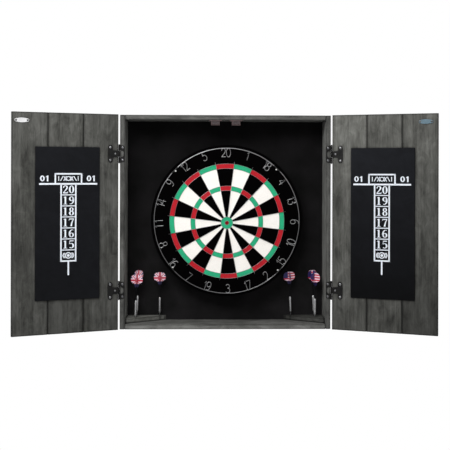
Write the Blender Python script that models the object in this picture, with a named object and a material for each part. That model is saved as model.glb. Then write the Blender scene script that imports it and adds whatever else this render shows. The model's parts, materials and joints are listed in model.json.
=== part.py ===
"""Wall-hung dartboard cabinet, standing open: a wooden box with two plank doors, a bristle board and six darts.

Metres, +Z up. The origin is the centre of the back plane, which lies against the wall, and -Y is the front.
"""

import math

import bmesh
import bpy
from mathutils import Vector

# Driving dimensions
GAP = 0.0003  # left between pieces that touch
WIDTH = 0.6104
HEIGHT = 0.620
DEPTH = 0.100
WOOD = 0.014  # thickness of the cabinet's four sides
RAIL_DEPTH = 0.012
RAIL_HEIGHT = 0.060
RAIL_Z = 0.120
STILE_WIDTH = 0.110
BACK = 0.004  # thickness of the back panel
WALL_HOLE_RADIUS = 0.0025
WALL_HOLE_X = 0.150  # behind the board

DOOR_OPEN = 159.5  # degrees from closed
DOOR_THICKNESS = 0.0145
DOOR_CLOSED_GAP = 0.0033  # the two hinge leaves lie in it, one on the other
DOOR_MIDDLE_GAP = 0.010
DOOR_HEIGHT = 0.622
PLANKS = ("hinge", "middle", "outer")
TONGUE = 0.005
CHAMFER = 0.0020
DOOR_EDGE = 0.0006
CHALKBOARD = (0.181, 0.004, 0.430)
CHALKBOARD_INSET = 0.0555  # from the door's hinge edge

PIN_OFFSET = 0.0020  # hinge pin outside the cabinet's side
PIN_RADIUS = 0.0011
PIN_HEAD = 0.0020
KNUCKLE_RADIUS = 0.0023
KNUCKLE_BORE = 0.0014
LEAF = 0.0012
HINGE_HEIGHT = 0.052
KNUCKLE_HALF = 0.0094  # half the height that the door leaf's one knuckle takes
HINGE_Z = 0.1972
LEAF_START = 0.0017  # from the pin, inside the knuckles
LEAF_LOBE = 0.0066
FRAME_LOBE = 0.0058
FRAME_SCREWS = ((0.0100, 0.0179), (0.0100, -0.0179))
DOOR_SCREWS = ((0.0112, 0.0), (0.0256, 0.0185), (0.0256, -0.0185))
LEAF_SCREW_RADIUS = 0.0019

CATCH_X = 0.0300
CATCH_DROP = 0.022  # middle of the strike plate below the cabinet's top
CATCH_HEIGHT = 0.0150
CATCH_DEPTH = 0.0220
CATCH_HALF = 0.0125
EAR_HALF = 0.0190
EAR = 0.0028
EAR_HOLE_RADIUS = 0.0016
POCKET_HALF = 0.0103
POCKET_RISE = 0.0043
POCKET_DEPTH = 0.0140
POLE = 0.0012  # thickness of a pole plate
POLE_REACH = 0.0015  # pole plates in front of the magnet
STRIKE = (0.0400, 0.0012, 0.0132)
STRIKE_X = {"left": 0.0320, "right": 0.0385}  # middles of the strike plates on the closed doors
STRIKE_END = 0.0042
STRIKE_SCREW_SPACING = 0.032

BOARD_X = 0.0041
BOARD_Z = 0.0026
BOARD_RADIUS = 0.2225
BOARD_THICKNESS = 0.038
BOARD_FACE_Y = -0.066
BACKING = 0.009
BAND = 0.0012
SECTORS = 20
SPIDER_RINGS = ((0.0175, 0.0), (0.0928, 0.0021), (0.1062, 0.0021), (0.1543, 0.0053), (0.1681, 0.0053))  # and rise
SPIDER_REACH = 0.1745
SPIDER_SHIFT = (0.0004, -0.0065)  # the playing circle sits a little low on the disc
SPIDER_TURN = -2.0  # degrees
BULL_RADIUS = 0.0060
WIRE = 0.001
RING_RADIUS = 0.2127
RING_WIRE_RADIUS = 0.0012
CLIP_CIRCLE = 0.2088
CLIP_RADIUS = 0.0024
CLIP_HEIGHT = 0.004
CLIPS = (("top_right", 44), ("bottom_right", 134), ("bottom_left", 229), ("top_left", 314))

BRACKET_HALF = 0.022
BRACKET_FOOT = 0.046
BRACKET_HEIGHT = 0.060
BRACKET_SHEET = 0.0015
BRACKET_CROWN = 0.0230  # its slotted face in front of the wall
BRACKET_SLOT_DEPTH = 0.0095
SHANK_RADIUS = 0.0025
HEAD_RADIUS = 0.0060
HEAD_BACK = 0.0195  # behind it the screw's head has room in the bracket
HEAD_FRONT = 0.0225
HEAD_EDGE = 0.0010

HOLDER_HEIGHT = 0.014
HOLDER_REACH = 0.116  # along the back panel
HOLDER_FRONT = 0.015  # behind the cabinet's front plane
HOLE_RADIUS = 0.0018
POINT_LENGTH = 0.024
POINT_RADIUS = 0.0011
POINT_TAPER = 0.0025
NOSE_RADIUS = 0.0019
NOSE_STEP = 0.0002
NOSE = 0.0055
BARREL_RADIUS = 0.0033
BARREL_TOP = 0.0440
SHOULDER_RADIUS = 0.0025
SHOULDER = 0.0475
STEM_RADIUS = 0.0016
FLIGHT_BOTTOM = 0.0846
FLIGHT_RADIUS = 0.0178
FLIGHT_HALF_SHEET = 0.00025
FLIGHT_LEVELS = ((0.0, 0.0026), (0.0120, FLIGHT_RADIUS), (0.0310, FLIGHT_RADIUS), (0.0380, 0.0110))
# name, x, distance behind the front plane, barrel's height above the holder, lean to +X, lean to the front, turn
DARTS = (
    ("left_front", -0.2641, 0.0420, 0.0025, 2.3, 0.0, 0.0),
    ("left_rear", -0.2616, 0.0640, 0.0130, 2.7, 0.0, 45.0),
    ("left_inner", -0.1944, 0.0755, 0.0083, 0.5, 7.0, 5.0),
    ("right_front", 0.2648, 0.0420, 0.0070, 0.5, 0.0, 45.0),
    ("right_rear", 0.2648, 0.0640, 0.0130, -2.5, 0.0, 36.0),
    ("right_inner", 0.1967, 0.0755, 0.0100, -3.1, 7.0, 10.0),
)

FRONT_Y = -DEPTH
BACK_FACE_Y = -RAIL_DEPTH - BACK
INNER_X = WIDTH / 2 - WOOD
INNER_Z = HEIGHT / 2 - WOOD
PIN_Y = FRONT_Y - DOOR_CLOSED_GAP / 2
PIN_X = WIDTH / 2 + PIN_OFFSET
DOOR_WIDTH = (WIDTH - DOOR_MIDDLE_GAP) / 2
SIDES = (("left", -1), ("right", 1))
LEVELS = (("upper", HINGE_Z), ("lower", -HINGE_Z))

PLANES = {"xy": (0, 1, 2), "xz": (0, 2, 1), "yz": (1, 2, 0)}


# Materials


def surface(name, colour, roughness, metallic=0.0):
    made = bpy.data.materials.new(name)
    made.use_nodes = True
    shader = made.node_tree.nodes["Principled BSDF"]
    shader.inputs["Base Color"].default_value = (*colour, 1.0)
    shader.inputs["Roughness"].default_value = roughness
    shader.inputs["Metallic"].default_value = metallic
    return made


def make_surfaces():
    return {
        "wood": surface("weathered_wood", (0.085, 0.078, 0.066), 0.75),
        "backing": surface("black_hardboard", (0.010, 0.010, 0.011), 0.7),
        "raw_wood": surface("raw_pine", (0.30, 0.21, 0.13), 0.8),
        "chalk": surface("chalkboard", (0.011, 0.011, 0.012), 0.6),
        "iron": surface("black_hinge_iron", (0.012, 0.012, 0.012), 0.45, 0.6),
        "steel": surface("bright_steel", (0.62, 0.62, 0.63), 0.28, 1.0),
        "wire": surface("spider_wire", (0.30, 0.30, 0.31), 0.35, 1.0),
        "band": surface("black_band", (0.015, 0.015, 0.016), 0.4, 0.5),
        "sisal": surface("black_sisal", (0.006, 0.006, 0.007), 0.9),
        "plastic": surface("brown_plastic", (0.16, 0.09, 0.07), 0.45),
        "clip": surface("white_clip", (0.75, 0.75, 0.74), 0.4),
        "barrel": surface("silver_barrel", (0.70, 0.70, 0.71), 0.25, 1.0),
        "flight": surface("printed_flight", (0.50, 0.08, 0.10), 0.35),
    }


# Shapes


def finish(name, shape, look, parent=None, round_angle=None):
    bmesh.ops.recalc_face_normals(shape, faces=shape.faces)
    mesh = bpy.data.meshes.new(name)
    shape.to_mesh(mesh)
    shape.free()
    if round_angle is not None:
        mesh.shade_smooth()
        mesh.set_sharp_from_angle(angle=math.radians(round_angle))
    obj = bpy.data.objects.new(name, mesh)
    bpy.context.collection.objects.link(obj)
    obj.data.materials.append(look)
    obj.parent = parent
    return obj


def pivot(name, place, turn=(0.0, 0.0, 0.0), parent=None):
    empty = bpy.data.objects.new(name, None)
    bpy.context.collection.objects.link(empty)
    empty.parent = parent
    empty.location = place
    empty.rotation_euler = [math.radians(angle) for angle in turn]
    return empty


def prism(outline, low, high, plane="xz"):
    """The outline, given in the plane's two axes, extruded along the third axis from low to high."""
    first, second, third = PLANES[plane]
    shape = bmesh.new()
    corners = []
    for a, b in outline:
        point = [0.0, 0.0, 0.0]
        point[first], point[second], point[third] = a, b, low
        corners.append(shape.verts.new(point))
    face = shape.faces.new(corners)
    sweep = bmesh.ops.extrude_face_region(shape, geom=[face])
    shift = [0.0, 0.0, 0.0]
    shift[third] = high - low
    moved = [v for v in sweep["geom"] if isinstance(v, bmesh.types.BMVert)]
    bmesh.ops.translate(shape, vec=shift, verts=moved)
    return shape


def block(low, high):
    outline = ((low[0], low[2]), (high[0], low[2]), (high[0], high[2]), (low[0], high[2]))
    return prism(outline, low[1], high[1])


def turned(profile, steps, axis="Z"):
    """A profile of (radius, height) points spun about the axis: closed, or with both ends on the axis."""
    shape = bmesh.new()
    turn_axis = Vector((axis == "X", axis == "Y", axis == "Z"))
    out = Vector((1, 0, 0)) if axis != "X" else Vector((0, 0, 1))
    points = [shape.verts.new(out * radius + turn_axis * height) for radius, height in profile]
    ends = list(zip(points, points[1:]))
    if profile[0][0] > 0:
        ends.append((points[-1], points[0]))
    edges = [shape.edges.new(pair) for pair in ends]
    bmesh.ops.spin(
        shape, geom=points + edges, cent=(0, 0, 0), axis=turn_axis, angle=math.tau, steps=steps, use_merge=True
    )
    bmesh.ops.remove_doubles(shape, verts=shape.verts, dist=1e-7)
    return shape


def rod(radius, low, high, steps=16, axis="Z"):
    return turned(((0, low), (radius, low), (radius, high), (0, high)), steps, axis)


def tube(inner, outer, low, high, steps, axis="Z"):
    return turned(((inner, low), (outer, low), (outer, high), (inner, high)), steps, axis)


def arc(centre, radius, start, end, steps):
    angles = [math.radians(start + (end - start) * i / steps) for i in range(steps + 1)]
    return [(centre[0] + radius * math.cos(a), centre[1] + radius * math.sin(a)) for a in angles]


def soften(obj, width=0.0008, segments=1):
    bevel = obj.modifiers.new("edges", "BEVEL")
    bevel.width = width
    bevel.segments = segments
    bevel.limit_method = "ANGLE"


def boolean(obj, shape, operation, place=(0.0, 0.0, 0.0), parent=None):
    """Joins the shape to the object, or cuts it out, and hides the shape."""
    count = len(obj.modifiers)
    tool = finish(f"{obj.name}_tool_{count}", shape, obj.data.materials[0], parent or obj.parent)
    tool.location = place
    tool.hide_render = True
    tool.display_type = "WIRE"
    step = obj.modifiers.new(f"step_{count}", "BOOLEAN")
    step.operation = operation
    step.solver = "EXACT"
    step.object = tool


# Cabinet


def make_carcass(looks):
    half_x, half_z = WIDTH / 2, HEIGHT / 2
    for name, side in SIDES:
        xs = sorted((side * half_x, side * INNER_X))
        panel = finish(f"{name}_panel", block((xs[0], FRONT_Y, -half_z), (xs[1], 0, half_z)), looks["wood"])
        soften(panel, 0.0014, 2)
    for name, side in (("top_panel", 1), ("bottom_panel", -1)):
        zs = sorted((side * half_z, side * INNER_Z))
        reach = INNER_X - GAP
        panel = finish(name, block((-reach, FRONT_Y, zs[0]), (reach, 0, zs[1])), looks["wood"])
        soften(panel, 0.0014, 2)
    return panel


def make_back(looks):
    reach_x, reach_z = INNER_X - GAP, INNER_Z - GAP
    back = block((-reach_x, BACK_FACE_Y, -reach_z), (reach_x, -RAIL_DEPTH - GAP, reach_z))
    back = finish("back_panel", back, looks["backing"])
    pieces = [(back, (1, -1))]
    for name, side in (("upper_hanging_rail", 1), ("lower_hanging_rail", -1)):
        low, high = side * RAIL_Z - RAIL_HEIGHT / 2, side * RAIL_Z + RAIL_HEIGHT / 2
        rail = finish(name, block((-reach_x, -RAIL_DEPTH, low), (reach_x, 0, high)), looks["raw_wood"])
        pieces.append((rail, (side,)))
    for piece, rows in pieces:
        for row in rows:
            for column in (-1, 1):
                hole = rod(WALL_HOLE_RADIUS, -DEPTH / 2, DEPTH / 2, 12, "Y")
                boolean(piece, hole, "DIFFERENCE", (column * WALL_HOLE_X, 0, row * RAIL_Z))
    stile_top = RAIL_Z - RAIL_HEIGHT / 2 - GAP
    stile = block((-STILE_WIDTH / 2, -RAIL_DEPTH, -stile_top), (STILE_WIDTH / 2, 0, stile_top))
    finish("centre_stile", stile, looks["raw_wood"])


def make_catches(looks):
    pole_front = PIN_Y + 0.0002
    case_front = FRONT_Y + 0.0005
    top = INNER_Z - GAP
    middle = HEIGHT / 2 - CATCH_DROP
    for name, side in SIDES:
        seat = pivot(f"{name}_catch", (side * CATCH_X, 0, 0))
        right = [(CATCH_HALF, top - CATCH_HEIGHT), (CATCH_HALF, top - EAR), (EAR_HALF, top - EAR), (EAR_HALF, top)]
        outline = right + [(-x, z) for x, z in reversed(right)]
        case = prism(outline, case_front, case_front + CATCH_DEPTH)
        case = finish(f"{name}_catch_case", case, looks["plastic"], seat)
        soften(case, 0.0005)
        pocket_back = case_front + POCKET_DEPTH
        corner = (POCKET_HALF, pocket_back, middle + POCKET_RISE)
        pocket = block((-POCKET_HALF, case_front - CATCH_DEPTH, middle - POCKET_RISE), corner)
        boolean(case, pocket, "DIFFERENCE")
        for column in (-1, 1):
            hole = rod(EAR_HOLE_RADIUS, top - 2 * EAR, top + EAR, 10)
            place = (column * (CATCH_HALF + EAR_HALF) / 2, case_front + CATCH_DEPTH / 2, 0)
            boolean(case, hole, "DIFFERENCE", place)
        half, rise = POCKET_HALF - GAP, POCKET_RISE - GAP
        magnet_front, back = pole_front + POLE_REACH, pocket_back - GAP
        upper = [(back, rise), (pole_front, rise), (pole_front, rise - POLE), (magnet_front, rise - POLE)]
        outline = upper + [(y, -z) for y, z in reversed(upper)]
        magnet = prism([(y, z + middle) for y, z in outline], -half, half, "yz")
        finish(f"{name}_catch_magnet", magnet, looks["steel"], seat)


# Hinges


def frame_leaf_outline():
    """Distances from the pin and heights: two arms with a round lobe at each screw, joined behind a notch."""
    upper = [(LEAF_START, 0.0255), (0.0055, 0.0248)] + arc(FRAME_SCREWS[0], FRAME_LOBE, 110, -10, 6)
    upper += [(0.0158, 0.0110)]
    notch = [(0.0138, 0.0052), (0.0085, 0.0095), (LEAF_START, 0.0099)]
    lower = [(u, -v) for u, v in (*reversed(upper), *reversed(notch))]
    return upper + lower + notch


def door_leaf_outline():
    """A neck from the middle knuckle, widening to a bar with a round lobe at each end."""
    neck = [(LEAF_START, 0.0088), (0.0140, 0.0092), (0.0195, 0.0105)]
    upper = neck + arc(DOOR_SCREWS[1], LEAF_LOBE, 180, 20, 6) + [(0.0330, 0.0130)]
    return upper + [(u, -v) for u, v in reversed(upper)]


def make_leaf(name, side, outline, ys, knuckles, screws, parent, looks, height):
    plate = prism([(-side * u, v) for u, v in outline], *ys)
    leaf = finish(name, plate, looks["iron"], parent, 30)
    leaf.location = (0, 0, height)
    for low, high in knuckles:
        boolean(leaf, rod(KNUCKLE_RADIUS, low, high, 20), "UNION", leaf.location)
    boolean(leaf, rod(KNUCKLE_BORE, -HINGE_HEIGHT, HINGE_HEIGHT, 16), "DIFFERENCE", leaf.location)
    for u, v in screws:
        place = (-side * u, 0, v + height)
        boolean(leaf, rod(LEAF_SCREW_RADIUS, -0.01, 0.01, 12, "Y"), "DIFFERENCE", place)


def make_hinges(pins, doors, looks):
    half, split = HINGE_HEIGHT / 2, KNUCKLE_HALF + GAP
    near, far = GAP / 2, GAP / 2 + LEAF
    head = ((0, 0.0016), (PIN_RADIUS, 0.0014), (PIN_HEAD, 0.0008), (PIN_HEAD, 0))
    for side_name, side in SIDES:
        for level, z in LEVELS:
            name = f"{side_name}_{level}"
            make_leaf(
                f"{name}_frame_leaf", side, frame_leaf_outline(), (near, far),
                ((split, half), (-half, -split)), FRAME_SCREWS, pins[side_name], looks, z,
            )
            make_leaf(
                f"{name}_door_leaf", side, door_leaf_outline(), (-far, -near),
                ((-KNUCKLE_HALF, KNUCKLE_HALF),), DOOR_SCREWS, doors[side_name], looks, z,
            )
            end = half + GAP
            top = [(r, end + h) for r, h in head] + [(PIN_RADIUS, end)]
            profile = top + [(r, -h) for r, h in reversed(top)]
            pin = finish(f"{name}_hinge_pin", turned(profile, 16), looks["iron"], pins[side_name], 30)
            pin.location = (0, 0, z)


# Doors


def plank_outline(left, right, inner, outer, groove, tongue):
    """The plank seen from above: chamfered at the joints, with a groove on its left and a tongue on its right."""
    middle = (inner + outer) / 2
    half = TONGUE / 2
    near = CHAMFER if groove else DOOR_EDGE
    far = CHAMFER if tongue else DOOR_EDGE
    points = [(left + near, inner), (right - far, inner), (right, inner - far)]
    if tongue:
        points += [
            (right, middle + half), (right + TONGUE, middle + half),
            (right + TONGUE, middle - half), (right, middle - half),
        ]
    points += [(right, outer), (left, outer)]
    if groove:
        half, depth = half + GAP, TONGUE + GAP
        points += [
            (left, middle - half), (left + depth, middle - half),
            (left + depth, middle + half), (left, middle + half),
        ]
    return points + [(left, inner - near)]


def strike_outline():
    """A lens with rounded ends."""
    reach, bulge = STRIKE[0] / 2 - STRIKE_END, STRIKE[2] / 2 - STRIKE_END
    right = arc((reach, 0), STRIKE_END, -80, 80, 6)
    crown = [(x * reach, STRIKE_END + bulge * (1 - x * x)) for x in (0.75, 0.5, 0.25, 0, -0.25, -0.5, -0.75)]
    half = right + crown
    return half + [(-x, -z) for x, z in half]


def make_door(name, side, door, looks):
    inner = -DOOR_CLOSED_GAP / 2
    outer = inner - DOOR_THICKNESS
    width = DOOR_WIDTH / len(PLANKS)
    last = len(PLANKS) - 1
    for i, plank in enumerate(PLANKS):
        left = PIN_OFFSET + i * width + (GAP if i else 0)
        right = PIN_OFFSET + (i + 1) * width
        outline = plank_outline(left, right, inner, outer, groove=i > 0, tongue=i < last)
        shape = prism([(-side * u, y) for u, y in outline], -DOOR_HEIGHT / 2, DOOR_HEIGHT / 2, "xy")
        finish(f"{name}_door_{plank}_plank", shape, looks["wood"], door)
    face = inner + GAP
    wide, thick, tall = CHALKBOARD
    us = sorted(-side * u for u in (PIN_OFFSET + CHALKBOARD_INSET, PIN_OFFSET + CHALKBOARD_INSET + wide))
    board = block((us[0], face, -tall / 2), (us[1], face + thick, tall / 2))
    soften(finish(f"{name}_chalkboard", board, looks["chalk"], door))
    long, thick, tall = STRIKE
    centre = (-side * (PIN_X - STRIKE_X[name]), HEIGHT / 2 - CATCH_DROP)
    outline = [(centre[0] + x, centre[1] + z) for x, z in strike_outline()]
    strike = finish(f"{name}_strike_plate", prism(outline, face, face + thick), looks["steel"], door, 30)
    for column in (-1, 1):
        hole = rod(LEAF_SCREW_RADIUS, -0.01, 0.01, 12, "Y")
        place = (centre[0] + column * STRIKE_SCREW_SPACING / 2, 0, centre[1])
        boolean(strike, hole, "DIFFERENCE", place)


# Dartboard


def make_bracket(centre, looks):
    """A hat-shaped strip with a slot open at the top, in which the board's centre screw hangs."""
    foot_back, crown_back = BACK_FACE_Y - GAP, -BRACKET_CROWN
    sheet, half, foot = BRACKET_SHEET, BRACKET_HALF, BRACKET_FOOT
    right = [
        (half - sheet, crown_back), (half - sheet, foot_back), (foot, foot_back), (foot, foot_back - sheet),
        (half, foot_back - sheet), (half, crown_back - sheet),
    ]
    outline = right + [(-x, y) for x, y in reversed(right)]
    strip = prism(outline, -BRACKET_HEIGHT / 2, BRACKET_HEIGHT / 2, "xy")
    bracket = finish("board_bracket", strip, looks["iron"], centre)
    slot_radius = SHANK_RADIUS + GAP
    slot = arc((0, 0), slot_radius, 180, 360, 8)
    slot += [(slot_radius, BRACKET_HEIGHT), (-slot_radius, BRACKET_HEIGHT)]
    slot_back = BRACKET_SLOT_DEPTH - BRACKET_CROWN - 0.007
    boolean(bracket, prism(slot, slot_back - BRACKET_SLOT_DEPTH, slot_back), "DIFFERENCE")
    for column in (-1, 1):
        for row in (-1, 1):
            hole = rod(LEAF_SCREW_RADIUS, BACK_FACE_Y - 0.004, BACK_FACE_Y + 0.006, 10, "Y")
            boolean(bracket, hole, "DIFFERENCE", (column * (half + foot) / 2, 0, row * BRACKET_HEIGHT / 3))


def spider():
    """Flat wires: rings bent by hand, so the wide ones sit a little high, and a spoke between each two sectors."""
    half = WIRE / 2
    edges = [(radius + side * half, rise) for radius, rise in SPIDER_RINGS for side in (-1, 1)]
    edges.append((SPIDER_REACH, SPIDER_RINGS[-1][1]))
    pitch = math.tau / SECTORS
    low, high = BOARD_FACE_Y - GAP - WIRE, BOARD_FACE_Y - GAP
    lines = 3 * SECTORS
    shape = bmesh.new()
    points = {}
    for i, (radius, rise) in enumerate(edges):
        lean = math.asin(half / radius)
        for j in range(lines):
            sector, line = divmod(j, 3)
            angle = (sector + 0.5) * pitch + (-lean, lean, pitch / 2)[line] + math.radians(SPIDER_TURN)
            reach = rise * math.cos(angle) + math.sqrt(radius ** 2 - (rise * math.sin(angle)) ** 2)
            for k, y in enumerate((low, high)):
                points[i, j, k] = shape.verts.new((reach * math.sin(angle), y, reach * math.cos(angle)))

    def solid(i, j):
        return 0 <= i < len(edges) - 1 and (i % 2 == 0 and i < 2 * len(SPIDER_RINGS) or j % 3 == 0)

    for i in range(len(edges) - 1):
        for j in range(lines):
            if not solid(i, j):
                continue
            after = (j + 1) % lines
            square = ((i, j), (i + 1, j), (i + 1, after), (i, after))
            for k in (0, 1):
                shape.faces.new([points[*corner, k] for corner in square])
            beside = ((i, j - 1), (i + 1, j), (i, after), (i - 1, j))
            for side, (a, b) in zip(beside, zip(square, square[1:] + square[:1])):
                if not solid(side[0], side[1] % lines):
                    shape.faces.new((points[*a, 0], points[*b, 0], points[*b, 1], points[*a, 1]))
    return shape


def make_dartboard(centre, looks):
    back_y = BOARD_FACE_Y + BOARD_THICKNESS
    split = back_y - BACKING
    disc = BOARD_RADIUS - BAND - GAP
    steps = 72
    bore = SHANK_RADIUS + GAP
    finish("board_backing", tube(bore, disc, split + GAP, back_y, steps, "Y"), looks["raw_wood"], centre, 30)
    finish("sisal_face", rod(disc, BOARD_FACE_Y, split, steps, "Y"), looks["sisal"], centre, 30)
    band = tube(BOARD_RADIUS - BAND, BOARD_RADIUS, BOARD_FACE_Y, back_y, steps, "Y")
    finish("board_band", band, looks["band"], centre, 30)
    field = pivot("field", (SPIDER_SHIFT[0], 0, SPIDER_SHIFT[1]), parent=centre)
    finish("spider_wires", spider(), looks["wire"], field)
    front = BOARD_FACE_Y - GAP
    bull = tube(BULL_RADIUS - WIRE / 2, BULL_RADIUS + WIRE / 2, front - WIRE, front, 24, "Y")
    finish("bull_wire", bull, looks["wire"], field, 30)
    tip = split + HEAD_EDGE
    profile = (
        (0, -HEAD_BACK), (HEAD_RADIUS - HEAD_EDGE, -HEAD_BACK), (HEAD_RADIUS, -HEAD_BACK - HEAD_EDGE),
        (HEAD_RADIUS, -HEAD_FRONT), (SHANK_RADIUS, -HEAD_FRONT), (SHANK_RADIUS, tip), (0, tip),
    )
    finish("centre_screw", turned(profile, 24, "Y"), looks["steel"], centre, 30)
    for name, degrees in CLIPS:
        angle = math.radians(degrees)
        shape = rod(CLIP_RADIUS, front - CLIP_HEIGHT, front, 12, "Y")
        clip = finish(f"{name}_ring_clip", shape, looks["clip"], centre, 30)
        clip.location = (CLIP_CIRCLE * math.sin(angle), 0, CLIP_CIRCLE * math.cos(angle))
    wire = arc((RING_RADIUS, front - RING_WIRE_RADIUS), RING_WIRE_RADIUS, 0, 315, 7)
    finish("number_ring", turned(wire, 80, "Y"), looks["wire"], centre, 50)


# Dart holders and darts


def make_holder(name, side, looks):
    low, high = GAP - INNER_Z, HOLDER_HEIGHT - INNER_Z
    wall, back = side * (INNER_X - GAP), BACK_FACE_Y - GAP
    outline = ((wall, FRONT_Y + HOLDER_FRONT), (wall, back), (side * (INNER_X - HOLDER_REACH), back))
    holder = finish(f"{name}_dart_holder", prism(outline, low, high, "xy"), looks["wood"])
    soften(holder)
    return holder


def flight():
    """Four vanes about the stem's line. The section is a cross, and its reach changes with the height."""
    half = FLIGHT_HALF_SHEET
    shape = bmesh.new()
    rings = []
    for height, reach in FLIGHT_LEVELS:
        ring = []
        for quarter in range(4):
            angle = quarter * math.pi / 2
            for x, y in ((reach, -half), (reach, half), (half, half)):
                turned_x = x * math.cos(angle) - y * math.sin(angle)
                turned_y = x * math.sin(angle) + y * math.cos(angle)
                ring.append(shape.verts.new((turned_x, turned_y, FLIGHT_BOTTOM + height)))
        rings.append(ring)
    for lower, upper in zip(rings, rings[1:]):
        for j in range(len(lower)):
            after = (j + 1) % len(lower)
            shape.faces.new((lower[j], lower[after], upper[after], upper[j]))
    shape.faces.new(rings[0])
    shape.faces.new(rings[-1])
    return shape


def dart_body():
    point = [(0, -POINT_LENGTH), (POINT_RADIUS, POINT_TAPER - POINT_LENGTH), (POINT_RADIUS, 0)]
    barrel = [(NOSE_RADIUS, NOSE_STEP), (BARREL_RADIUS, NOSE), (BARREL_RADIUS, BARREL_TOP)]
    barrel += [(SHOULDER_RADIUS, SHOULDER)]
    stem = [(STEM_RADIUS, SHOULDER), (STEM_RADIUS, FLIGHT_BOTTOM - GAP), (0, FLIGHT_BOTTOM - GAP)]
    return turned(point + barrel + stem, 12)


def make_darts(holders, bottom_panel, looks):
    top = HOLDER_HEIGHT - INNER_Z
    for name, x, behind, lift, lean_side, lean_front, turn in DARTS:
        foot = pivot(f"{name}_dart", (x, FRONT_Y + behind, top), (lean_front, lean_side, 0))
        rise = pivot(f"{name}_dart_rise", (0, 0, lift), (0, 0, turn), parent=foot)
        finish(f"{name}_dart_barrel", dart_body(), looks["barrel"], rise, 40)
        finish(f"{name}_dart_flight", flight(), looks["flight"], rise)
        depth = POINT_LENGTH - lift + 0.001
        for piece in (holders[name.split("_")[0]], bottom_panel):
            boolean(piece, rod(HOLE_RADIUS, -depth, 0.004, 12), "DIFFERENCE", parent=foot)
            if depth < HOLDER_HEIGHT:
                break


def main():
    for obj in list(bpy.data.objects):
        bpy.data.objects.remove(obj, do_unlink=True)
    looks = make_surfaces()
    bottom_panel = make_carcass(looks)
    make_back(looks)
    make_catches(looks)
    pins, doors, holders = {}, {}, {}
    for name, side in SIDES:
        place = (side * PIN_X, PIN_Y, 0)
        pins[name] = pivot(f"{name}_pin_line", place)
        doors[name] = pivot(f"{name}_door", place, (0, 0, side * DOOR_OPEN))
        make_door(name, side, doors[name], looks)
        holders[name] = make_holder(name, side, looks)
    make_hinges(pins, doors, looks)
    centre = pivot("board_centre", (BOARD_X, 0, BOARD_Z))
    make_bracket(centre, looks)
    make_dartboard(centre, looks)
    make_darts(holders, bottom_panel, looks)


main()
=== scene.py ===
"""Looks of the dartboard cabinet, standing open: weathered planks, sisal board, wire ring and darts."""

import json
import math

import bmesh
import bpy
from mathutils import Matrix, Vector


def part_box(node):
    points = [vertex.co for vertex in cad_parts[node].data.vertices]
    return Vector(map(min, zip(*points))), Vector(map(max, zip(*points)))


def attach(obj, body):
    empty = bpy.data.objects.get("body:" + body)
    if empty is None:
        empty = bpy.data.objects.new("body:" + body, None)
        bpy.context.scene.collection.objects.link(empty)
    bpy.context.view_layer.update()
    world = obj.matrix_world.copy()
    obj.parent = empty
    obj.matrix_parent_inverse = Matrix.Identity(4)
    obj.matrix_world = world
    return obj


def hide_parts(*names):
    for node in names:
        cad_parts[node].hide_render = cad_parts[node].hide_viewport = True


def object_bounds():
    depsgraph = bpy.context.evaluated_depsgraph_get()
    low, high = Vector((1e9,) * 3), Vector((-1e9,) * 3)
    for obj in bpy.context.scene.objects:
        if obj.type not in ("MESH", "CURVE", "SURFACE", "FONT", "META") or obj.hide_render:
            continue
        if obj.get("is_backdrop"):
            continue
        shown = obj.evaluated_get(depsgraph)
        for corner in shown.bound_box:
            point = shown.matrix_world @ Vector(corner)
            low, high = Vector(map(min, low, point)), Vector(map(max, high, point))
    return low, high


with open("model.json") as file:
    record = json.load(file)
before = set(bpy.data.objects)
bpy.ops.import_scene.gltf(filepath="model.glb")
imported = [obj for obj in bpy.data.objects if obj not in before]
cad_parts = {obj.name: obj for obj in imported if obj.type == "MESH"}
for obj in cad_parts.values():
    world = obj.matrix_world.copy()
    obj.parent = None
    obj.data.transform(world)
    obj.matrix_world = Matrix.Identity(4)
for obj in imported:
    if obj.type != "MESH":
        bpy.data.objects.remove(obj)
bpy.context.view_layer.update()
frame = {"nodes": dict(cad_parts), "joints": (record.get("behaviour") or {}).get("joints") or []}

SIDES = (("left", -1), ("right", 1))
JOINTS = {joint["name"]: joint for joint in frame["joints"]}
SECTORS = 20
NUMBERS = (20, 1, 18, 4, 13, 6, 10, 15, 2, 17, 3, 19, 7, 16, 8, 11, 14, 9, 12, 5)

# Circles and turn of the playing field, as in the CAD
BULL, OUTER_BULL = 0.0060, 0.0175
TREBLE = (0.0928, 0.1062)
DOUBLE = (0.1543, 0.1681)
TREBLE_RISE, DOUBLE_RISE = 0.0021, 0.0053  # how far their centres sit above the playing field's
SPOKE_REACH = 0.1745
FIELD_TURN = math.radians(-2.0)

# Dyes of the sisal
CREAM = (0.94, 0.91, 0.86)
RED = (0.480, 0.0150, 0.0245)
DARK_RED = (0.20, 0.008, 0.012)
GREEN = (0.027, 0.41, 0.203)
BLACK = (0.0010, 0.0008, 0.0009)


# Places, all taken from the frame


def door_space(name, side):
    """The door's own space: the origin on its hinge pin, -side X across the closed door to its free edge."""
    joint = JOINTS[f"{name}_door_hinge"]
    closed = joint["range_deg"][0]
    return Matrix.Translation(joint["pos_m"]) @ Matrix.Rotation(math.radians(-side * closed), 4, "Z")


def node_points(node, space=Matrix()):
    """The vertices of a CAD node, seen from a space."""
    back = space.inverted()
    return [back @ v.co for v in frame["nodes"][node].data.vertices]


def box_in(space, node):
    """(lowest, highest) corner of a CAD node in a space of its own."""
    points = node_points(node, space)
    low = Vector([min(p[i] for p in points) for i in range(3)])
    high = Vector([max(p[i] for p in points) for i in range(3)])
    return low, high


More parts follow.
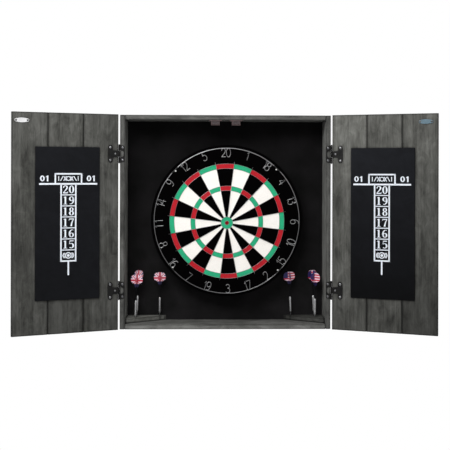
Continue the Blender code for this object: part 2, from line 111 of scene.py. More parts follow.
DOORS = {name: door_space(name, side) for name, side in SIDES}
BOARD_LOW, BOARD_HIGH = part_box("sisal_face")
BOARD_CENTRE = (BOARD_LOW + BOARD_HIGH) / 2
BOARD_CENTRE.y = BOARD_LOW.y
BOARD_RADIUS = (BOARD_HIGH.x - BOARD_LOW.x) / 2
BULL_LOW, BULL_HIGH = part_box("bull_wire")
FIELD_CENTRE = (BULL_LOW + BULL_HIGH) / 2
FIELD_CENTRE.y = BOARD_LOW.y
FIELD_SPACE = Matrix.Translation(FIELD_CENTRE) @ Matrix.Rotation(FIELD_TURN, 4, "Y")


# Node helpers


class Look:
    """A node material with a Principled shader, and short ways to add nodes to it."""

    def __init__(self, name, **values):
        self.material = bpy.data.materials.new(name)
        self.material.use_nodes = True
        self.tree = self.material.node_tree
        self.shader = self.tree.nodes["Principled BSDF"]
        for socket, value in values.items():
            self.shader.inputs[socket.replace("_", " ")].default_value = value

    def add(self, kind, **settings):
        made = self.tree.nodes.new("ShaderNode" + kind)
        for key, value in settings.items():
            setattr(made, key, value)
        return made

    def feed(self, node, **inputs):
        for name, value in inputs.items():
            socket = node.inputs[int(name[1:]) if name[1:].isdigit() else name.replace("_", " ")]
            if isinstance(value, bpy.types.NodeSocket):
                self.tree.links.new(value, socket)
            else:
                socket.default_value = value
        return node

    def math(self, operation, a, b=0.0):
        node = self.add("Math", operation=operation)
        return self.feed(node, i0=a, i1=b).outputs[0]

    def total(self, *parts):
        """The sum of values, each times its weight."""
        terms = [self.math("MULTIPLY", value, weight) for value, weight in parts]
        whole = terms[0]
        for term in terms[1:]:
            whole = self.math("ADD", whole, term)
        return whole

    def place(self, scale=(1, 1, 1), turn=(0, 0, 0), shift=(0, 0, 0)):
        coordinates = self.add("TexCoord").outputs["Object"]
        turned = self.feed(self.add("Mapping"), Vector=coordinates, Location=shift, Rotation=turn)
        node = self.add("VectorMath", operation="MULTIPLY")
        return self.feed(node, i0=turned.outputs[0], i1=scale).outputs[0]

    def fade(self, low, high):
        """A factor by height in the object's space: low and high are (height, factor)."""
        apart = self.feed(self.add("SeparateXYZ"), Vector=self.place())
        return self.between(apart.outputs[2], low, high)

    def noise(self, vector, scale=1.0, detail=4.0, roughness=0.55, distortion=0.0):
        node = self.add("TexNoise")
        self.feed(node, Vector=vector, Scale=scale, Detail=detail)
        return self.feed(node, Roughness=roughness, Distortion=distortion).outputs["Fac"]

    def ramp(self, factor, *stops):
        node = self.add("ValToRGB")
        points = node.color_ramp.elements
        while len(points) < len(stops):
            points.new(0.5)
        for point, (position, colour) in zip(points, stops):
            point.position = position
            point.color = (*colour, 1.0) if len(colour) == 3 else colour
        return self.feed(node, Fac=factor).outputs["Color"]

    def between(self, factor, low, high):
        node = self.add("MapRange")
        return self.feed(node, Value=factor, i1=low[0], i2=high[0], i3=low[1], i4=high[1]).outputs[0]

    def edges(self, distance, inside):
        """Low beside convex edges if inside, or else low in corners and grooves."""
        node = self.add("AmbientOcclusion", samples=8, inside=inside, only_local=inside)
        return self.feed(node, Distance=distance).outputs["AO"]

    def shade(self, colour, factor):
        """The colour times a factor."""
        node = self.add("VectorMath", operation="SCALE")
        return self.feed(node, i0=colour, Scale=factor).outputs[0]

    def mix(self, factor, a, b):
        node = self.add("Mix", data_type="RGBA")
        return self.feed(node, i0=factor, i6=a, i7=b).outputs[2]

    def bump(self, height, distance, strength=1.0, radius=0.0):
        node = self.feed(self.add("Bump"), Height=height, Distance=distance, Strength=strength)
        if radius:
            edge = self.feed(self.add("Bevel", samples=4), Radius=radius)
            self.tree.links.new(edge.outputs[0], node.inputs["Normal"])
        self.tree.links.new(node.outputs[0], self.shader.inputs["Normal"])

    def set(self, **inputs):
        self.feed(self.shader, **inputs)
        return self.material


def grey(value):
    return (value, value, value)


# Materials


def weathered_wood(name, turn=(0, 0, 0), tone=1.0, seed=0.0, warm=0.0, foot=1.0, painted_side_light=1.0):
    """Grey, wind-dried wood, with painted shade beside its edges and in its grooves and corners: the grain
    runs along Z after the turn.

    It fades to the foot factor down its height, painted shade towards the foot, and by a factor on faces that
    look neither to the front nor to the back, painted light and shade on the cabinet's inner walls and floor.
    """
    look = Look(name)
    shift = (seed * 0.37, seed * 0.73, seed * 1.91)
    broad = look.noise(look.place((20, 20, 4.5), turn, shift), 1.0, 5.0, 0.6, 0.6)
    streak = look.noise(look.place((110, 110, 5), turn, shift), 1.0, 6.0, 0.65, 0.6)
    fibre = look.noise(look.place((480, 480, 26), turn, shift), 1.0, 5.0, 0.7)
    blotch = look.noise(look.place((34, 34, 18), turn, shift), 1.0, 6.0, 0.7, 0.8)
    body = look.total((broad, 0.32), (streak, 0.20), (fibre, 0.16), (blotch, 0.32))
    light = (0.150 * tone, 0.151 * tone, (0.144 - 0.012 * warm) * tone)
    middle = (0.084 * tone, 0.0845 * tone, (0.0795 - 0.008 * warm) * tone)
    dark = (0.034 * tone, 0.0342 * tone, (0.0320 - 0.004 * warm) * tone)
    colour = look.ramp(body, (0.40, dark), (0.5, middle), (0.61, light))
    cracks = look.noise(look.place((210, 210, 7), turn, shift), 1.0, 4.0, 0.6, 0.4)
    open_grain = look.between(cracks, (0.27, 1.0), (0.35, 0.0))
    colour = look.mix(look.math("MULTIPLY", open_grain, 0.5), colour, (*[c * 0.7 for c in dark], 1.0))
    # Painted shade: darker beside convex edges and in grooves and corners.
    painted_shade_depth = 0.38
    rim = look.between(look.edges(0.005, True), (0.60, painted_shade_depth), (0.97, 1.0))
    crevice = look.between(look.edges(0.006, False), (0.35, painted_shade_depth), (0.95, 1.0))
    shade = look.math("MULTIPLY", rim, crevice)
    # Painted shade: darker towards the foot.
    if foot != 1.0:
        shade = look.math("MULTIPLY", shade, look.fade((-0.31, foot), (0.31, 1.0)))
    # Painted light and shade: a factor on faces that look sideways or up, such as the inner walls and floor.
    if painted_side_light != 1.0:
        facing = look.feed(look.add("SeparateXYZ"), Vector=look.add("NewGeometry").outputs["Normal"])
        ahead = look.math("ABSOLUTE", facing.outputs[1])
        shade = look.math("MULTIPLY", shade, look.between(ahead, (0.3, painted_side_light), (0.6, 1.0)))
    colour = look.shade(colour, shade)
    look.bump(look.total((fibre, 0.5), (open_grain, -0.9), (streak, 0.6)), 0.0005, 0.6, 0.0009)
    rough = look.between(fibre, (0.3, 0.70), (0.7, 0.95))
    return look.set(Base_Color=colour, Roughness=rough, Specular_IOR_Level=0.15)


def raw_pine(name, turn=(0, 0, 0)):
    look = Look(name)
    rings = look.noise(look.place((40, 40, 1.2), turn), 1.0, 3.0, 0.5, 1.2)
    fibre = look.noise(look.place((500, 500, 12), turn), 1.0, 5.0, 0.6)
    value = look.total((rings, 0.7), (fibre, 0.3))
    colour = look.ramp(value, (0.35, (0.30, 0.18, 0.09)), (0.6, (0.50, 0.34, 0.19)))
    look.bump(fibre, 0.0003, 0.5, 0.0008)
    return look.set(Base_Color=colour, Roughness=0.75, Specular_IOR_Level=0.3)


def black_hardboard():
    look = Look("black_hardboard")
    cloud = look.noise(look.place((12, 12, 12)), 1.0, 4.0)
    grain = look.noise(look.place((900, 900, 900)), 1.0, 2.0)
    look.bump(grain, 0.0001, 0.5)
    colour = look.ramp(cloud, (0.35, grey(0.0042)), (0.7, (0.0088, 0.0082, 0.0088)))
    # Painted shade: darker towards the top under the top panel, lighter low down.
    colour = look.shade(colour, look.fade((-0.28, 1.7), (0.1, 0.95)))
    return look.set(Base_Color=colour, Roughness=0.9, Specular_IOR_Level=0.05)


def chalkboard(name, top, foot):
    """Matt slate paint with the haze that a wiped cloth leaves; painted light and shade fade it from the top
    factor to the foot factor.
    """
    look = Look(name)
    haze = look.noise(look.place((9, 9, 14)), 1.0, 6.0, 0.7, 1.5)
    grit = look.noise(look.place((1500, 1500, 1500)), 1.0, 2.0)
    wiped = look.noise(look.place((60, 60, 8), (0, 0.5, 0)), 1.0, 5.0, 0.7)
    value = look.total((haze, 0.7), (wiped, 0.3))
    colour = look.ramp(value, (0.36, (0.0062, 0.0066, 0.0080)), (0.76, (0.0108, 0.0116, 0.0142)))
    # Painted light and shade: lighter at the top, darker towards the foot.
    colour = look.shade(colour, look.fade((-0.215, foot), (0.215, top)))
    look.bump(grit, 0.00008, 0.5, 0.0006)
    return look.set(Base_Color=colour, Roughness=0.8, Specular_IOR_Level=0.07)


def printed_white():
    look = Look("printed_white")
    worn = look.noise(look.place((260, 260, 260)), 1.0, 4.0, 0.6)
    colour = look.ramp(worn, (0.25, (0.55, 0.60, 0.68)), (0.5, (0.78, 0.82, 0.88)))
    return look.set(Base_Color=colour, Roughness=0.6, Specular_IOR_Level=0.2)


def iron(name="black_iron"):
    look = Look(name, Metallic=0.35)
    pits = look.noise(look.place((700, 700, 700)), 1.0, 4.0, 0.6)
    patch = look.noise(look.place((60, 60, 60)), 1.0, 4.0, 0.6)
    colour = look.ramp(patch, (0.35, grey(0.0035)), (0.7, (0.012, 0.0115, 0.011)))
    look.bump(pits, 0.0001, 0.6, 0.0003)
    rough = look.between(patch, (0.3, 0.42), (0.7, 0.6))
    return look.set(Base_Color=colour, Roughness=rough, Specular_IOR_Level=0.3)


EVEN_GRAIN = (900, 900, 900)


def steel(name, colour=(0.62, 0.62, 0.64), rough=(0.18, 0.34), along=(900, 900, 60), radius=0.0003,
          foot=1.0):
    """Brushed metal, darker by the foot factor on the lower part of the board: painted shade."""
    look = Look(name, Metallic=1.0)
    brushed = look.noise(look.place(along), 1.0, 4.0, 0.6)
    smear = look.noise(look.place((80, 80, 80)), 1.0, 3.0)
    look.bump(brushed, 0.00004, 0.4, radius)
    tint = look.ramp(smear, (0.3, [c * 0.82 for c in colour]), (0.7, colour))
    if foot != 1.0:
        tint = look.shade(tint, look.fade((-0.19, foot), (0.12, 1.0)))
    return look.set(Base_Color=tint, Roughness=look.between(brushed, (0.3, rough[0]), (0.7, rough[1])))


def plastic(name, colour, rough=0.4, radius=0.0006, shine=0.5):
    look = Look(name, Specular_IOR_Level=shine)
    grain = look.noise(look.place((1100, 1100, 1100)), 1.0, 3.0)
    cloud = look.noise(look.place((70, 70, 70)), 1.0, 3.0)
    look.bump(grain, 0.00005, 0.4, radius)
    tint = look.ramp(cloud, (0.3, [c * 0.85 for c in colour]), (0.7, colour))
    spread = look.between(grain, (0.3, rough - 0.08), (0.7, rough + 0.08))
    return look.set(Base_Color=tint, Roughness=spread)


def sisal(name, colour, depth=0.35, shine=0.12):
    """The cut ends of pressed fibre bundles: fine grain, a little uneven in dye."""
    look = Look(name)
    ends = look.noise(look.place((1300, 300, 1300)), 1.0, 3.0, 0.7)
    tufts = look.noise(look.place((260, 60, 260)), 1.0, 4.0, 0.6)
    dye = look.noise(look.place((22, 22, 22)), 1.0, 4.0, 0.6)
    value = look.total((ends, 0.35), (tufts, 0.4), (dye, 0.25))
    tint = look.ramp(value, (0.36, [c * (1 - depth) for c in colour]), (0.56, colour))
    look.bump(look.total((ends, 0.5), (tufts, 1.0)), 0.0003, 0.6)
    return look.set(Base_Color=tint, Roughness=0.9, Specular_IOR_Level=shine)


def stroke(look, distance, half, soft=0.0003):
    """1 within the half-width of a line, given the distance from it."""
    return look.between(look.math("ABSOLUTE", distance), (half - soft, 1.0), (half + soft, 0.0))


def flight_print(name, crossed):
    """Red, white and blue film. Both vanes read the same: one runs along X and the other along Y."""
    look = Look(name)
    apart = look.add("SeparateXYZ")
    look.feed(apart, Vector=look.add("TexCoord").outputs["Object"])
    across = look.math("ADD", apart.outputs[0], apart.outputs[1])
    up = look.math("SUBTRACT", apart.outputs[2], FLIGHT_MIDDLE)
    red, white, blue = (0.52, 0.018, 0.050, 1), (0.80, 0.62, 0.70, 1), (0.032, 0.024, 0.125, 1)
    if crossed:
        lean = look.math("MULTIPLY", across, 1.05)
        rising, falling = look.math("SUBTRACT", up, lean), look.math("ADD", up, lean)
        diagonal = look.math("MAXIMUM", stroke(look, rising, 0.0058), stroke(look, falling, 0.0058))
        upright = look.math("MAXIMUM", stroke(look, across, 0.0062), stroke(look, up, 0.0056))
        colour = look.mix(look.math("MAXIMUM", diagonal, upright), blue, white)
        thin = look.math("MAXIMUM", stroke(look, rising, 0.0014), stroke(look, falling, 0.0014))
        core = look.math("MAXIMUM", stroke(look, across, 0.0030), stroke(look, up, 0.0026))
        colour = look.mix(look.math("MAXIMUM", thin, core), colour, red)
    else:
        bands = look.math("PINGPONG", up, 0.0038)
        colour = look.mix(look.between(bands, (0.0017, 0.0), (0.0021, 1.0)), white, red)
        corner = look.between(across, (-0.0043, 1.0), (-0.0037, 0.0))
        corner = look.math("MULTIPLY", corner, look.between(up, (-0.0023, 0.0), (-0.0017, 1.0)))
        colour = look.mix(corner, colour, blue)
    foot = look.between(up, (-0.0110, 1.0), (-0.0085, 0.0))
    colour = look.mix(foot, colour, (*[c * 0.45 for c in blue[:3]], 1))
    film = look.noise(look.place((500, 500, 500)), 1.0, 2.0)
    look.bump(film, 0.00003, 0.5)
    return look.set(Base_Color=colour, Roughness=0.38, Specular_IOR_Level=0.35)


# Shapes


def link(name, data):
    """A new object in the scene."""
    obj = bpy.data.objects.new(name, data)
    bpy.context.scene.collection.objects.link(obj)
    return obj


def piece(name, shape, looks, body, space=None, replaced=(), smooth=None):
    """Turns a bmesh into an object of the model that rides on a body."""
    mesh = bpy.data.meshes.new(name)
    bmesh.ops.recalc_face_normals(shape, faces=shape.faces)
    shape.to_mesh(mesh)
    shape.free()
    if smooth is not None:
        mesh.shade_smooth()
        mesh.set_sharp_from_angle(angle=math.radians(smooth))
    for look in looks if isinstance(looks, (list, tuple)) else (looks,):
        mesh.materials.append(look)
    obj = link(name, mesh)
    if space is not None:
        obj.matrix_world = space
    return adopt(obj, body, replaced)


def adopt(obj, body, replaced=()):
    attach(obj, body)
    if replaced:
        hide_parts(*replaced)
    return obj


def turned(profile, steps, axis="Z"):
    """A profile of (radius, height) points, its two ends on the axis, spun about Y or Z."""
    part = bmesh.new()
    along = Vector((0, axis == "Y", axis == "Z"))
    points = [part.verts.new(Vector((radius, 0, 0)) + along * height) for radius, height in profile]
    edges = [part.edges.new(pair) for pair in zip(points, points[1:])]
    bmesh.ops.spin(
        part, geom=points + edges, cent=(0, 0, 0), axis=along, angle=math.tau, steps=steps, use_merge=True
    )
    bmesh.ops.remove_doubles(part, verts=part.verts, dist=1e-7)
    bmesh.ops.recalc_face_normals(part, faces=part.faces)
    return part


def add_shape(target, source, place=None):
    """Adds a copy of one bmesh to another, moved by a matrix."""
    mesh = bpy.data.meshes.new("part")
    source.to_mesh(mesh)
    if place is not None:
        mesh.transform(place)
    target.from_mesh(mesh)
    bpy.data.meshes.remove(mesh)


def slab(low, high):
    """A thin bar between two corners."""
    shape = bmesh.new()
    bmesh.ops.create_cube(shape, size=1.0)
    size = [b - a for a, b in zip(low, high)]
    bmesh.ops.scale(shape, vec=size, verts=shape.verts)
    bmesh.ops.translate(shape, vec=[(a + b) / 2 for a, b in zip(low, high)], verts=shape.verts)
    return shape


def wire(name, strokes, radius, look, body, space, replaced=(), sides=2):
    """Bent wire. A stroke is (points, smooth, closed), its points in the space given."""
    curve = bpy.data.curves.new(name, "CURVE")
    curve.dimensions = "3D"
    curve.bevel_depth = radius
    curve.bevel_resolution = sides
    curve.resolution_u = 8
    curve.use_fill_caps = True
    for points, smooth, closed in strokes:
        spline = curve.splines.new("BEZIER")
        spline.bezier_points.add(len(points) - 1)
        for knot, point in zip(spline.bezier_points, points):
            knot.co = point
            knot.handle_left_type = knot.handle_right_type = "AUTO" if smooth else "VECTOR"
        spline.use_cyclic_u = closed
    curve.materials.append(look)
    obj = link(name, curve)
    obj.matrix_world = space
    return adopt(obj, body, replaced)


def circle(radius, y, steps=24):
    angles = [math.tau * i / steps for i in range(steps)]
    return [(radius * math.sin(a), y, radius * math.cos(a)) for a in angles]


# Cabinet


def paint(look, *nodes):
    for node in nodes:
        slots = frame["nodes"][node].data.materials
        if len(slots):
            slots[0] = look
        else:
            slots.append(look)


def dress_cabinet():
    along_x = (0, math.pi / 2, 0)
    # Painted light and shade: the side panels' sideways faces are painted lighter, the floor's top face
    # darker.
    paint(weathered_wood("side_wood", tone=0.97, seed=3.0, painted_side_light=2.4), "left_panel")
    paint(weathered_wood("other_side_wood", tone=0.92, seed=8.0, painted_side_light=1.7), "right_panel")
    paint(weathered_wood("top_wood", along_x, 1.15, 5.0), "top_panel")
    paint(weathered_wood("floor_wood", along_x, 1.52, 6.5, painted_side_light=0.72), "bottom_panel")
    paint(black_hardboard(), "back_panel")
    paint(raw_pine("rail_pine", along_x), "upper_hanging_rail", "lower_hanging_rail")
    paint(raw_pine("stile_pine"), "centre_stile")
    # Painted light and shade: the left holder is painted lighter and the right darker.
    for (name, side), seed, tone in zip(SIDES, (11.0, 13.5), (1.4, 0.52)):
        diagonal = (0, math.pi / 2, side * math.radians(30))
        paint(weathered_wood(f"{name}_holder_wood", diagonal, tone, seed, 0.3), f"{name}_dart_holder")


# Tone of each plank at its top, and the factor it fades by down to its foot: partly painted light, the right
# door's planks lighter than the left's, and painted shade darker towards the foot
PLANK_TONES = {
    "left": {"hinge": (0.79, 0.82), "middle": (1.00, 0.46), "outer": (0.82, 0.80)},
    "right": {"hinge": (1.33, 0.54), "middle": (1.09, 0.64), "outer": (1.19, 0.36)},
}

# Factors on the chalkboards' colour at their tops and feet: painted light and shade, the right board lighter
# and both darker towards the foot
SLATE_TONES = {"left": (1.0, 0.80), "right": (1.35, 0.36)}


def dress_doors():
    print_look = printed_white()
    for name, side in SIDES:
        open_turn = math.radians(180 + JOINTS[f"{name}_door_hinge"]["range_deg"][0]) * side
        for i, (plank, (tone, foot)) in enumerate(PLANK_TONES[name].items()):
            seed = 17.0 + 5.3 * i + 2.1 * side
            look = weathered_wood(f"{name}_{plank}_wood", (0, 0, open_turn), tone, seed, 0.3, foot=foot)
            paint(look, f"{name}_door_{plank}_plank")
        paint(chalkboard(f"{name}_chalkboard_paint", *SLATE_TONES[name]), f"{name}_chalkboard")
        print_scores(name, side, print_look)


# Printed score columns


PRINT_RISE = 0.0003
PRINT_SHIFT = 0.0015  # towards the hinge
SCORE_ROWS = ("20", "19", "18", "17", "16", "15")


def oval(x, z, across, tall, thick, thin, steps=16):
    """A closed stroke round an oval, thick at its sides and thin at its top and foot."""
    points = []
    for i in range(steps):
        turn = math.tau * i / steps
        half = thin + (thick - thin) * math.sin(turn) ** 2
        points.append((x + across * math.sin(turn), z + tall * math.cos(turn), half))
    return points, True


# Printed figures: strokes of (x, z, half width), and if they are closed, in a box one unit high about x = 0
SERIF = {
    "0": [oval(0, 0.5, 0.175, 0.455, 0.082, 0.035)],
    "1": [
        ([(0, 0.02, 0.075), (0, 0.98, 0.075)], False),
        ([(-0.17, 0.03, 0.030), (0.17, 0.03, 0.030)], False),
        ([(-0.15, 0.86, 0.028), (-0.04, 0.93, 0.045)], False),
    ],
    "2": [
        ([(-0.17, 0.70, 0.055), (-0.15, 0.86, 0.045), (0.0, 0.96, 0.035), (0.15, 0.84, 0.070),
          (0.14, 0.64, 0.070), (0.0, 0.38, 0.050), (-0.20, 0.10, 0.030)], False),
        ([(-0.22, 0.065, 0.065), (0.20, 0.065, 0.065)], False),
        ([(0.20, 0.04, 0.030), (0.23, 0.24, 0.020)], False),
    ],
    "5": [
        ([(-0.14, 0.93, 0.060), (0.20, 0.93, 0.060)], False),
        ([(-0.14, 0.96, 0.025), (-0.18, 0.54, 0.025)], False),
        ([(-0.18, 0.55, 0.025), (0.0, 0.62, 0.040), (0.15, 0.48, 0.075), (0.16, 0.22, 0.075),
          (0.02, 0.05, 0.040), (-0.17, 0.12, 0.055)], False),
    ],
    "6": [
        ([(0.17, 0.90, 0.035), (0.02, 0.94, 0.040), (-0.14, 0.72, 0.070), (-0.18, 0.40, 0.080),
          (-0.12, 0.12, 0.065)], False),
        oval(0, 0.30, 0.165, 0.255, 0.078, 0.035),
    ],
    "7": [
        ([(-0.21, 0.92, 0.062), (0.22, 0.92, 0.062)], False),
        ([(-0.20, 0.95, 0.030), (-0.23, 0.74, 0.020)], False),
        ([(0.21, 0.92, 0.030), (0.06, 0.55, 0.050), (-0.03, 0.02, 0.080)], False),
    ],
    "8": [oval(0, 0.745, 0.135, 0.215, 0.070, 0.035), oval(0, 0.275, 0.165, 0.240, 0.080, 0.035)],
}
SERIF["9"] = [([(-x, 1 - z, w) for x, z, w in points], closed) for points, closed in SERIF["6"]]
BLOCK = {
    "0": [oval(0, 0.5, 0.24, 0.415, 0.105, 0.085)],
    "1": [
        ([(0.05, 0.0, 0.105), (0.05, 1.0, 0.105)], False),
        ([(-0.20, 0.74, 0.075), (0.03, 0.92, 0.075)], False),
    ],
}


def ribbon(shape, points, closed, size=(1.0, 1.0), shift=(0.0, 0.0)):
    """One printed stroke of changing width."""
    line = [Vector((x * size[0] + shift[0], z * size[1] + shift[1])) for x, z, _ in points]
    count = len(line)
    sides = []
    for i, point in enumerate(line):
        before = line[i - 1] if closed or i else point
        after = line[(i + 1) % count] if closed or i < count - 1 else point
        along = (after - before).normalized()
        out = Vector((-along.y * size[0], along.x * size[1])) * points[i][2]
        sides.append((point - out, point + out))
    rows = []
    for height in (-PRINT_RISE / 2, PRINT_RISE / 2):
        rows.append([[shape.verts.new((*corner, height)) for corner in pair] for pair in sides])
    under, over = rows
    for i in range(count if closed else count - 1):
        j = (i + 1) % count
        shape.faces.new((over[i][0], over[j][0], over[j][1], over[i][1]))
        shape.faces.new((under[i][0], under[i][1], under[j][1], under[j][0]))
        for k in (0, 1):
            shape.faces.new((over[i][k], over[j][k], under[j][k], under[i][k]))
    if not closed:
        for i in (0, -1):
            shape.faces.new((over[i][0], over[i][1], under[i][1], under[i][0]))


def figures(name, text, font, size, pitch, place, look, body):
    """Printed figures, a little raised, centred on the place."""
    shape = bmesh.new()
    start = -pitch * (len(text) - 1) / 2
    for i, character in enumerate(text):
        for points, closed in font[character]:
            smooth = points if closed or len(points) < 3 else rounded(points)
            ribbon(shape, smooth, closed, size, (start + i * pitch, -size[1] / 2))
    piece(name, shape, look, body, place)


def rounded(points, steps=4):
    """More points on a smooth line through the given ones."""
    ends = [points[0], *points, points[-1]]
    made = []
    for a, b, c, d in zip(ends, ends[1:], ends[2:], ends[3:]):
        for i in range(steps):
            t = i / steps
            t2, t3 = t ** 2, t ** 3
            weights = (2 * t2 - t - t3, 2 - 5 * t2 + 3 * t3, t + 4 * t2 - 3 * t3, t3 - t2)
            made.append(tuple(sum(w * p[k] for w, p in zip(weights, (a, b, c, d))) / 2 for k in range(3)))
    return made + [points[-1]]


def print_scores(name, side, look):
    """A T of bars with a box at the top and a column of numbers, seen from the front with the door open."""
    space = DOORS[name]
    low, high = box_in(space, f"{name}_chalkboard")
    face = high.y
    centre = (low.x + high.x) / 2 + side * PRINT_SHIFT
    body, slot = f"{name}_door", "chalkboard"
    # Face space: X to the viewer's right with the door open, Y up, Z out of the face.
    face_space = space @ Matrix.Translation((centre, face + PRINT_RISE / 2, 0)) @ Matrix(
        ((-1, 0, 0, 0), (0, 0, 1, 0), (0, 1, 0, 0), (0, 0, 0, 1))
    )
    bar_z, bar_half, bar_rise = 0.1108, 0.0818, 0.0024
    column_half, cell, line = 0.0228, 0.0310, 0.0042
    head_half, head_rise = 0.0390, 0.0304
    stem_half, stem = 0.0022, 0.0400
    rule_half, rows = 0.0013, len(SCORE_ROWS) + 1
    tall, tall_pitch = (0.0300, 0.0226), 0.0172
    small, small_pitch = (0.0190, 0.0160), 0.0136
    bottom = bar_z - rows * cell
    bars = [
        (-bar_half, bar_half, bar_z - bar_rise, bar_z + bar_rise),
        (-head_half, line - head_half, bar_z, bar_z + head_rise),
        (head_half - line, head_half, bar_z, bar_z + head_rise),
        (-head_half, head_half, bar_z + head_rise - line, bar_z + head_rise),
        (-column_half, line - column_half, bottom, bar_z),
        (column_half - line, column_half, bottom, bar_z),
        (-stem_half, stem_half, bottom - stem, bottom),
    ]
    for row in range(1, rows + 1):
        z = bar_z - row * cell
        half = line / 2 if row == rows else rule_half
        bars.append((-column_half, column_half, z - half, z + half))
    shape = bmesh.new()
    for left, right, base, top in bars:
        add_shape(shape, slab((left, base, -PRINT_RISE / 2), (right, top, PRINT_RISE / 2)))
    piece(f"{name}_score_lines", shape, look, body, face_space)
    for row, text in enumerate(SCORE_ROWS):
        place = face_space @ Matrix.Translation((0, bar_z - (row + 0.5) * cell, 0))
        figures(f"{name}_score_{text}", text, SERIF, tall, tall_pitch, place, look, body)
    for label, x in (("outer", -0.0660), ("inner", 0.0650)):
        place = face_space @ Matrix.Translation((x, bar_z + 0.0154, 0))
        figures(f"{name}_{label}_01", "01", BLOCK, small, small_pitch, place, look, body)
    score_marks(name, look, body, face_space, bar_z + head_rise / 2, bottom + cell / 2)


def score_marks(name, look, body, face_space, head_y, bull_y):
    """A row of plain marks in the box at the top, and a bull's eye between chevrons at the foot."""
    shape = bmesh.new()
    thick, tall, half = 0.0011, 0.0066, 0.0036
    rising = ([(-half, -tall, thick), (half, tall, thick)], False)
    falling = ([(-half, tall, thick), (half, -tall, thick)], False)
    upright = ([(0, -tall, thick), (0, tall, thick)], False)
    round_one = oval(0, 0, 0.0056, tall - thick, thick, thick, 24)
    marks = ((round_one,), (rising, falling), (rising,), (upright,))
    pitches = (0.0, 0.009682, 0.0094, 0.009118)
    for i in range(-3, 4):
        strokes = marks[abs(i)]
        for points, closed in strokes if i < 0 else mirrored(strokes):
            ribbon(shape, points, closed, shift=(i * pitches[abs(i)], head_y))
    for radius, width, steps in ((0.0078, 0.0014, 28), (0.0020, 0.0020, 16)):
        points, closed = oval(0, 0, radius, radius, width, width, steps)
        ribbon(shape, points, closed, shift=(0, bull_y))
    for side in (-1, 1):
        for tip in (0.0128, 0.0160):
            chevron = [(side * (tip - 0.004), 0.0075, 0.0010), (side * tip, 0, 0.0010)]
            for flip in (-1, 1):
                points = [(x, z * flip, w) for x, z, w in chevron]
                ribbon(shape, points, False, shift=(0, bull_y))
    piece(f"{name}_score_marks", shape, look, body, face_space)


def mirrored(strokes):
    return [([(-x, z, w) for x, z, w in points], closed) for points, closed in strokes]


# Dartboard


CIRCLE_WIRE, SPOKE_WIRE = 0.00036, 0.00062
CLIPS = ("top_left", "top_right", "bottom_left", "bottom_right")


def dress_board():
    looks = [
        sisal("sisal_black", BLACK, shine=0.01),
        sisal("sisal_cream", CREAM, 0.12),
        sisal("sisal_red", RED, 0.3),
        sisal("sisal_green", GREEN, 0.3),
        sisal("sisal_dark_red", DARK_RED, 0.3),
    ]
    sisal_disc(looks)
    wire_look = steel("spider_steel", (0.42, 0.42, 0.43), (0.25, 0.4), radius=0.0)
    half = (BOARD_LOW.y - BULL_LOW.y) / 2
    angles = [math.tau * i / 24 for i in range(24)]
    rings = [(field_ring(ring, -half, angles), True, True) for ring in (1, *TREBLE_RINGS, *DOUBLE_RINGS)]
    bull = [(circle(BULL, -half, 12), True, True)]
    for name, strokes, node in (("spider_circles", rings, "spider_wires"), ("bull_ring", bull, "bull_wire")):
        wire(name, strokes, CIRCLE_WIRE, wire_look, "dartboard", FIELD_SPACE, (node,))
    spokes = []
    for i in range(SECTORS):
        angle = math.tau * (i + 0.5) / SECTORS
        tip = reach(SPOKE_RING, angle)
        ends = [(r * math.sin(angle), -half - 0.0002, r * math.cos(angle)) for r in (OUTER_BULL, tip)]
        root = (tip * math.sin(angle), 0.0, tip * math.cos(angle))
        spokes.append((ends + [root], False, False))
    spoke_look = steel("spoke_steel", (0.54, 0.54, 0.54), (0.3, 0.45), radius=0.0)
    wire("spider_spokes", spokes, SPOKE_WIRE, spoke_look, "dartboard", FIELD_SPACE, sides=1)
    paint(plastic("rim_band_black", (0.0020, 0.0020, 0.0022), 0.85, shine=0.02), "board_band")
    paint(raw_pine("backing_board"), "board_backing")
    paint(iron("bracket_iron"), "board_bracket")
    paint(steel("screw_steel"), "centre_screw")
    clip_look = plastic("clip_white", (0.72, 0.72, 0.71), 0.35)
    for name in CLIPS:
        ring_clip(f"{name}_ring_clip", clip_look)
    number_ring()


# Circles of the face, from the bull outwards: radius, and how far the centre sits above the field's
FACE_RINGS = (
    (BULL, 0.0), (OUTER_BULL, 0.0), (0.040, 0.0), (0.070, 0.0010),
    (TREBLE[0], TREBLE_RISE), (TREBLE[1], TREBLE_RISE), (0.125, 0.0034), (0.142, 0.0044),
    (DOUBLE[0], DOUBLE_RISE), (DOUBLE[1], DOUBLE_RISE), (SPOKE_REACH, DOUBLE_RISE),
)
TREBLE_RINGS, DOUBLE_RINGS, SPOKE_RING = (4, 5), (8, 9), 10
BLACK_DYE, CREAM_DYE, RED_DYE, GREEN_DYE, BULL_DYE = range(5)  # in the order of the face's materials


def reach(ring, angle):
    """How far a ray from the field's centre goes to one of the face's circles."""
    radius, rise = FACE_RINGS[ring]
    world_angle = angle + FIELD_TURN
    return rise * math.cos(world_angle) + math.sqrt(radius ** 2 - (rise * math.sin(world_angle)) ** 2)


def field_ring(ring, y, angles):
    """Points on one of the face's circles, in the field's space."""
    return [(reach(ring, a) * math.sin(a), y, reach(ring, a) * math.cos(a)) for a in angles]


